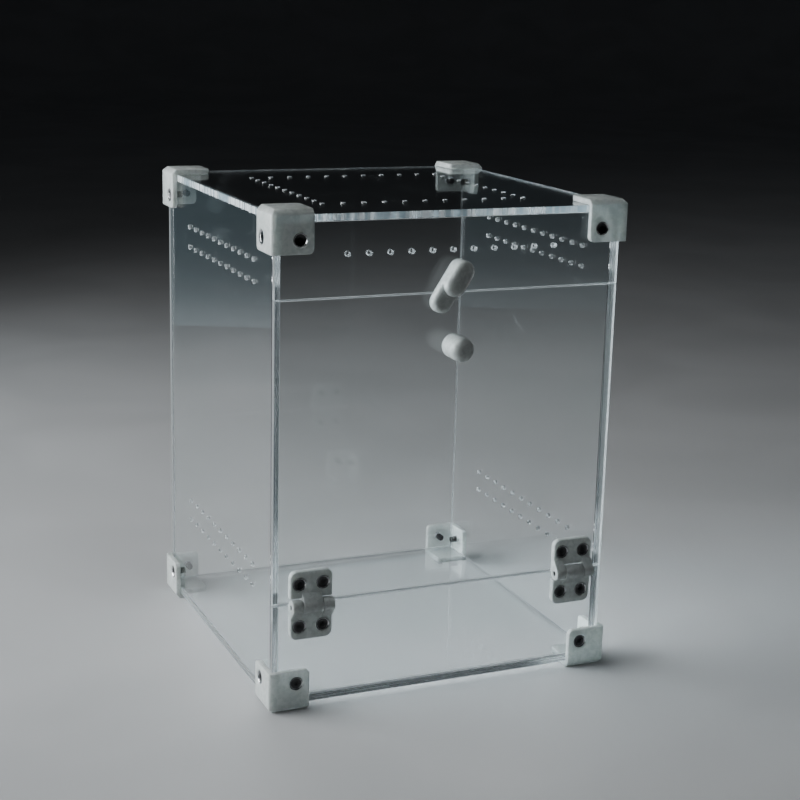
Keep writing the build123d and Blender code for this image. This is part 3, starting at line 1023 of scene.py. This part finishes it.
def knuckle(x_low, x_high):
    """One knuckle: a barrel that runs into the root of the leaf."""
    shape = bmesh.new()
    root_back = leaf_back - back_inset
    for x in (x_low, x_high):
        place = Matrix.Translation((x, 0, 0)) @ to_right
        bmesh.ops.create_circle(shape, segments=barrel_sides, radius=barrel_r, matrix=place)
        for y, z in ((leaf_front + ramp_inset, ramp_top), (root_back, ramp_top), (root_back, 0.0)):
            shape.verts.new((x, y, z))
    skin = bmesh.ops.convex_hull(shape, input=shape.verts[:], use_existing_faces=False)
    spare = verts_in(skin["geom_interior"] + skin["geom_unused"])
    bmesh.ops.delete(shape, geom=list(set(spare)), context="VERTS")
    bmesh.ops.dissolve_limit(shape, angle_limit=math.radians(1.0), verts=shape.verts[:],
                             edges=shape.edges[:])
    ends = [e for e in sharp_edges(shape, 60.0) if near(e.verts[0].co.x, e.verts[1].co.x)]
    round_edges(shape, ends, knuckle_soft, segments=3)
    return shape


# %% [markdown]
# The plate is a box with rounded corners, notched where the other leaf's knuckles turn.
# Plate and knuckles are joined when each has its own soft edges. The pin's bore and the
# screw holes are cut last, out of the joined shape.

# %% A whole hinge leaf
hinge_width = 18.0
leaf_height = 14.5
leaf_corner_r = 3.0
leaf_soft = 0.6
centre_knuckle = 8.4
knuckle_gap = 0.25
notch_top = barrel_r + barrel_air
notch_reach = 9.0
notch_over = 1.0
pin_r = 1.0
pin_air = 0.05
pin_bore_length = 30.0


def leaf_plate(room):
    """The flat of a leaf, notched for the other leaf's knuckles."""
    half = hinge_width / 2
    shape = block((-half, leaf_front, 0), (half, leaf_back, leaf_height))
    tall = [e for e in shape.edges if on_line(e, 1, z=leaf_height)]
    round_edges(shape, tall, leaf_corner_r, segments=8)
    rim = [e for e in shape.edges if all(near(v.co.y, leaf_front) for v in e.verts)
           and max(v.co.z for v in e.verts) > same_place]
    round_edges(shape, rim, leaf_soft, segments=4)
    notches = [block((low, -notch_reach, -notch_reach), (high, notch_reach, notch_top))
               for low, high in room]
    return combine(shape, notches, "DIFFERENCE")


def hinge_leaf(outer):
    """A whole leaf. With outer true it has the two end knuckles, otherwise the middle one."""
    half, middle = hinge_width / 2, centre_knuckle / 2
    if outer:
        room = [(-middle - knuckle_gap, middle + knuckle_gap)]
        knuckles = [knuckle(-half, room[0][0]), knuckle(room[0][1], half)]
    else:
        room = [(-half - notch_over, -middle), (middle, half + notch_over)]
        knuckles = [knuckle(-middle, middle)]
    shape = combine(leaf_plate(room), knuckles, "UNION")
    bores = [rod(pin_r + pin_air, pin_bore_length, to_right)]
    for dx in hinge_screw_shifts:
        bores += sunk_bore(Matrix.Translation((dx, leaf_front, hinge_screw_rise)) @ to_front)
    return combine(shape, bores, "DIFFERENCE")


leaf_with_ends = hinge_leaf(True)
leaf_with_middle = hinge_leaf(False)
print("leaf faces", len(leaf_with_ends.faces), "and", len(leaf_with_middle.faces))

# %% [markdown]
# Both hinges have one pattern. The right one is the left one turned half a turn, so
# its two end knuckles are on the door. A pin stays in the leaf with the end knuckles
# and rides on that leaf's body.

# %% Two hinges
pin_length = 17.4
pin_soft = 0.15
half_turn = Matrix.Rotation(math.pi, 4, "Y")

for side, x in hinge_x.items():
    place = Matrix.Translation((x, front_y - leaf_back, seam_z))
    low_leaf = leaf_with_ends if side == "left" else leaf_with_middle
    high_leaf = leaf_with_middle if side == "left" else leaf_with_ends
    make_piece(f"{side}_leaf_fixed", copy_shape(low_leaf, place @ half_turn), "enclosure",
               [hinge_painted_shade_plastic], f"{side}_hinge_fixed_leaf")
    make_piece(f"{side}_leaf_door", copy_shape(high_leaf, place), "door",
               [hinge_painted_shade_plastic], f"{side}_hinge_door_leaf")
    pin = rod(pin_r, pin_length, place @ to_right, bore_sides)
    round_edges(pin, sharp_edges(pin, 60.0), pin_soft, segments=3)
    make_piece(f"{side}_pin_steel", pin, "enclosure" if side == "left" else "door",
               [steel], f"{side}_hinge_pin")
leaf_with_ends.free()
leaf_with_middle.free()

# %% [markdown]
# ## Knob
#
# A turned pull knob is a cylinder with a generous radius in front and a smaller one at
# the door. Bevelling the two rims of a plain cylinder gives both, and keeps the side
# between them straight, as a lathe would.

# %% The pull knob
knob_r = 5.0
knob_front_r = 3.2
knob_back_r = 2.0
knob_sides = 64
knob_screw_depth = 5.0
knob_length = front_y - knob_low.y


def round_rims(shape, rims):
    """Rounds the rims of a shape that stands along z: (level, radius, segments) each."""
    for level, radius, segments in rims:
        rim = [e for e in shape.edges if all(near(v.co.z, level) for v in e.verts)]
        round_edges(shape, rim, radius, segments)


def pull_knob():
    """The knob along +Z, its back on z = 0, with the screw's hole from behind."""
    middle = Matrix.Translation((0, 0, knob_length / 2))
    shape = rod(knob_r, knob_length, middle, knob_sides)
    round_rims(shape, ((knob_length, knob_front_r, 10), (0.0, knob_back_r, 8)))
    hole = rod(screw_hole_r, 2 * knob_screw_depth, Matrix.Identity(4))
    return combine(shape, [hole], "DIFFERENCE")


knob_place = Matrix.Translation((0, front_y, knob_z)) @ to_front
make_piece("pull_knob", copy_shape(pull_knob(), knob_place), "door",
           [painted_shade_plastic], "door_knob")

# %% [markdown]
# ## Turn latch
#
# The latch is one moulding: a flat arm with round ends, and on its upper two thirds a
# thicker grip for the fingers, round-ended too. Each is a circle pulled apart into a
# slot and extruded, with a deep radius round its front. It leans, as in the photograph,
# because it was left half turned.

# %% The turn latch
latch_width = 9.0
latch_length = 23.5
latch_inset = 7.5
grip_length = 15.5
grip_height = 7.8
arm_height = 4.5
latch_front_r = 2.2
latch_back_r = 0.5
latch_screw_depth = 4.55
latch_lean = math.radians(-32.0)
latch_gap = 0.3
slot_sides = 64


def slot_block(length, height, width):
    """A block with round ends and soft rims, from the latch's top end downwards."""
    shape = bmesh.new()
    # Half a step round, so that no point lies where the circle is pulled apart.
    half_step = Matrix.Rotation(math.pi / slot_sides, 4, "Z")
    bmesh.ops.create_circle(shape, cap_ends=True, segments=slot_sides, radius=width / 2,
                            matrix=half_step)
    low_end = [v for v in shape.verts if v.co.y < 0]
    bmesh.ops.translate(shape, verts=shape.verts, vec=(0, latch_inset - width / 2, 0))
    bmesh.ops.translate(shape, verts=low_end, vec=(0, width - length, 0))
    extrude_flat(shape, height)
    round_rims(shape, ((height, latch_front_r, 7), (0.0, latch_back_r, 3)))
    return shape


def turn_latch():
    """Arm and grip in one, the pivot at the origin and the back on z = 0."""
    arm = slot_block(latch_length, arm_height, latch_width)
    grip = slot_block(grip_length, grip_height, latch_width)
    both = combine(arm, [grip], "UNION")
    hole = rod(screw_hole_r, 2 * latch_screw_depth, Matrix.Identity(4))
    return combine(both, [hole], "DIFFERENCE")


latch_place = Matrix.Translation(latch_pivot - Vector((0, latch_gap, 0)))
latch_turn = to_front @ Matrix.Rotation(latch_lean, 4, "Z")
make_piece("turn_latch", copy_shape(turn_latch(), latch_place @ latch_turn), "latch",
           [painted_shade_plastic], "latch_lever")

# %% [markdown]
# ## Camera
#
# The camera was solved from points of the photograph: its place, its direction and its
# focal length put the vents and seams within about a pixel of where they were seen.

# %% The camera at the photograph's view
camera_place = Vector((-273.371, -646.722, 285.774)) * MM
camera_yaw = math.radians(23.5458)
camera_pitch = math.radians(14.1828)
camera_roll = math.radians(1.4585)
focal_px = 1624.834
picture_px = 800
sensor_mm = 36.0

ahead = Vector((math.sin(camera_yaw) * math.cos(camera_pitch),
                math.cos(camera_yaw) * math.cos(camera_pitch), -math.sin(camera_pitch)))
level_right = Vector((math.cos(camera_yaw), -math.sin(camera_yaw), 0.0))
level_up = level_right.cross(ahead)
right = level_right * math.cos(camera_roll) + level_up * math.sin(camera_roll)
up = -level_right * math.sin(camera_roll) + level_up * math.cos(camera_roll)

camera_data = bpy.data.cameras.new("photo_camera")
camera_data.sensor_width = sensor_mm
camera_data.lens = focal_px / picture_px * sensor_mm
camera_data.clip_start = 0.01
camera_data.clip_end = 200.0
camera = bpy.data.objects.new("photo_camera", camera_data)
camera.matrix_world = Matrix((
    (right.x, up.x, -ahead.x, camera_place.x),
    (right.y, up.y, -ahead.y, camera_place.y),
    (right.z, up.z, -ahead.z, camera_place.z),
    (0, 0, 0, 1)))
bpy.context.scene.collection.objects.link(camera)
bpy.context.scene.camera = camera
print("lens", round(camera_data.lens, 2), "mm")

# %% [markdown]
# ## Floor and light
#
# Clear plastic shows only what is behind it and what it mirrors. A lit white room would
# wash it out, so the studio is dim and the floor is pale, and the light comes from a
# few soft panels. The floor turns up into a round backdrop, so no line shows where it
# ends. It is spun from an outline as the screw heads were, but in metres.

# %% The floor, which turns up into a round backdrop
floor_r = 3.2
cove_r = 1.6
cove_height = 4.2
cove_steps = 12
cove_sides = 96


def floor_finish():
    """A pale matt floor with a faint unevenness."""
    material, tree, shader = new_finish("studio_floor", {"Roughness": 0.65})
    cloud = place_group(tree, mottle, Scale=6.0).outputs["Cloud"]
    colour = tint(tree, cloud, (0.41, 0.415, 0.42), (0.45, 0.455, 0.46))
    tree.links.new(colour, shader.inputs["Base Color"])
    return material


cove = [(0.0, 0.0), (floor_r, 0.0)]
for i in range(1, cove_steps + 1):
    t = math.pi / 2 * i / cove_steps
    cove.append((floor_r + cove_r * math.sin(t), cove_r * (1 - math.cos(t))))
cove.append((floor_r + cove_r, cove_height))
floor_shape = spin_profile(cove, cove_sides)
bmesh.ops.recalc_face_normals(floor_shape, faces=floor_shape.faces)
shade(floor_shape)
floor = new_object("studio_floor", floor_shape)
floor.data.materials.append(floor_finish())
print("floor", len(floor.data.polygons), "faces")

# %% [markdown]
# A large panel on the left whitens the left sides of the milky parts and the cut edges. A
# weak one in front keeps the knob and the latch soft, and one above and one on the right
# fill the shadows. A faint bluish one behind the left side is what the side sheet mirrors
# as a soft veil. A narrow cone keeps most of a panel's light off the backdrop.

# %% Lights
open_cone, narrow_cone = 180.0, 110.0
heart = (0.0, 0.0, 0.1)
veil_target = (-0.08, 0.0, 0.1)
cool_white = (0.95, 0.98, 1.0)
warm_white = (1.0, 0.99, 0.97)
soft_white = (1.0, 0.99, 0.98)
pale_blue = (0.62, 0.88, 1.0)


def soft_panel(name, place, target, size, power, colour, cone=open_cone):
    """A rectangular lamp that faces a point. Its light stays within a cone, in degrees."""
    data = bpy.data.lights.new(name, "AREA")
    data.shape = "RECTANGLE"
    data.size, data.size_y = size
    data.energy = power
    data.color = colour
    data.spread = math.radians(cone)
    lamp = bpy.data.objects.new(name, data)
    aim = (Vector(place) - Vector(target)).to_track_quat("Z", "Y").to_matrix().to_4x4()
    lamp.matrix_world = Matrix.Translation(place) @ aim
    bpy.context.scene.collection.objects.link(lamp)
    print(name, power, "W")


soft_panel("left_panel_light", (-0.80, 0.26, 0.30), heart, (0.95, 0.8), 8.2, cool_white,
           narrow_cone)
soft_panel("front_fill_light", (-0.55, -0.75, 0.38), heart, (0.5, 0.5), 0.35, cool_white,
           narrow_cone)
soft_panel("top_panel_light", (-0.15, 0.10, 0.95), heart, (0.5, 0.5), 1.2, warm_white)
soft_panel("right_fill_light", (0.75, -0.55, 0.4), heart, (0.35, 0.5), 0.2, soft_white)
soft_panel("veil_light", (-0.36, 0.62, 0.16), veil_target, (0.45, 0.32), 0.07, pale_blue)

world = bpy.data.worlds.new("studio_air")
world.use_nodes = True
backdrop = next(n for n in world.node_tree.nodes if n.type == "BACKGROUND")
backdrop.inputs["Color"].default_value = (0.035, 0.037, 0.04, 1)
backdrop.inputs["Strength"].default_value = 1.0
bpy.context.scene.world = world

# %% [markdown]
# A ray crosses many faces of clear sheet on its way to the eye, so the path tracer may
# bounce often. Clamping the brightest indirect light and blurring glossy bounces a
# little keeps stray sparks out of the picture.

# %% How the picture is worked out
scene = bpy.context.scene
scene.cycles.max_bounces = 32
scene.cycles.transmission_bounces = 24
scene.cycles.transparent_max_bounces = 32
scene.cycles.glossy_bounces = 8
scene.cycles.diffuse_bounces = 4
scene.cycles.caustics_refractive = True
scene.cycles.caustics_reflective = False
scene.cycles.sample_clamp_indirect = 6.0
scene.cycles.blur_glossy = 0.5
scene.cycles.use_denoising = True
scene.view_settings.view_transform = "AgX"
scene.view_settings.look = "AgX - Medium High Contrast"
scene.view_settings.exposure = 0.0
print("transmission bounces", scene.cycles.transmission_bounces)
